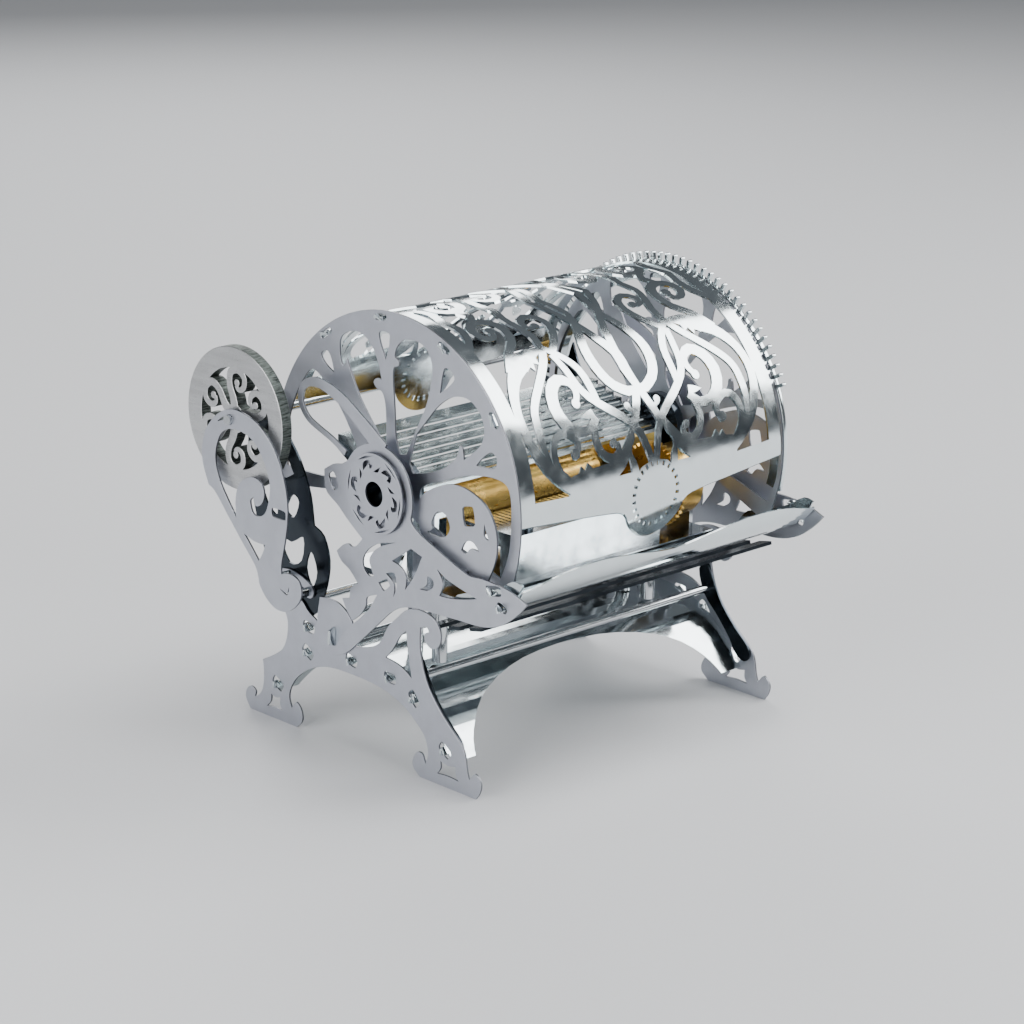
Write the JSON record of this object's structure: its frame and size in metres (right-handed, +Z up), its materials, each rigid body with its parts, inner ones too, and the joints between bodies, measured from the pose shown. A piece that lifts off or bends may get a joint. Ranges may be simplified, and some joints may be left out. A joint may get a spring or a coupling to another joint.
{
  "type": "cylinder music box",
  "caption": "Openwork sheet-steel music box: a pierced roll-top barrel cover geared to a side flywheel, over a pinned cylinder and comb",
  "frame": {"origin": "on the ground, under the middle of the whole box; the barrel axis stands 3.8 mm to +X and 5.7 mm to -Y of it", "axes": "+X along the barrel to the ring-gear end, -Y to the front tray, +Z up"},
  "size_m": [0.1201, 0.1174, 0.1161],
  "materials": {
    "satin_steel": "satin stainless sheet, laser-cut and tumbled",
    "polished_sheet": "mirror-polished stainless sheet",
    "ground_steel": "ground and turned steel",
    "dark_steel": "dark polished steel",
    "brass": "lathe-turned and fine-grained brass"
  },
  "bodies": {
    "case": {"left_frame": "satin_steel", "right_frame": "satin_steel", "left_bracket": "satin_steel", "right_bracket": "satin_steel", "left_rosette": "satin_steel", "right_rosette": "satin_steel", "pivot_bushes": "dark_steel", "cheek_plates": "satin_steel", "leaf_bracket": "satin_steel", "rear_bridge": "dark_steel", "pillars": "ground_steel", "base_sheet": "polished_sheet", "tray": "polished_sheet", "tray_ends": "polished_sheet", "tray_rail": "dark_steel", "key_deck": "polished_sheet", "deck_ends": "polished_sheet", "cross_rods": "ground_steel", "lock_tabs": "polished_sheet", "leg_linings": "dark_steel", "bedplate": "ground_steel", "bedplate_pillars": "ground_steel", "movement_cocks": "ground_steel", "comb": "ground_steel", "comb_screws": "dark_steel"},
    "cover": {"cover_front": "polished_sheet", "cover_rear": "polished_sheet", "left_disc": "satin_steel", "right_disc": "satin_steel", "ring_gear": "polished_sheet", "cover_hubs": "dark_steel", "cover_tabs": "polished_sheet"},
    "flywheel": {"flywheel": "ground_steel", "arbor": "ground_steel", "lantern_pinion": "brass"},
    "music_cylinder": {"music_cylinder": "brass", "cylinder_arbor": "ground_steel", "cylinder_wheel": "brass"},
    "spring_barrel": {"spring_barrel": "brass"},
    "winding_arbor": {"winding_arbor": "ground_steel"},
    "governor": {"governor_fly": "dark_steel"}
  },
  "joints": [
    {"name": "cover_turn", "type": "hinge", "parent": "case", "child": "cover", "pos_m": [0.0038, -0.0057, 0.0706], "axis": [-1, 0, 0], "range_deg": [0, 100]},
    {"name": "flywheel_spin", "type": "hinge", "parent": "case", "child": "flywheel", "pos_m": [0.0038, 0.0401, 0.0815], "axis": [-1, 0, 0], "range_deg": [-1530, 0]},
    {"name": "cylinder_spin", "type": "hinge", "parent": "case", "child": "music_cylinder", "pos_m": [0.0038, 0.0023, 0.0584], "axis": [1, 0, 0], "continuous": true},
    {"name": "barrel_spin", "type": "hinge", "parent": "case", "child": "spring_barrel", "pos_m": [0.0378, -0.01695, 0.0584], "axis": [1, 0, 0], "continuous": true},
    {"name": "winding", "type": "hinge", "parent": "case", "child": "winding_arbor", "pos_m": [0.0378, -0.01695, 0.0584], "axis": [1, 0, 0], "continuous": true},
    {"name": "governor_spin", "type": "hinge", "parent": "case", "child": "governor", "pos_m": [-0.0336, -0.0097, 0.055], "axis": [0, 0, 1], "continuous": true}
  ],
  "couplings": [
    {"joint": "flywheel_spin", "follows": "cover_turn", "ratio": -15.286},
    {"joint": "barrel_spin", "follows": "cylinder_spin", "ratio": -0.75},
    {"joint": "governor_spin", "follows": "cylinder_spin", "ratio": 40}
  ]
}
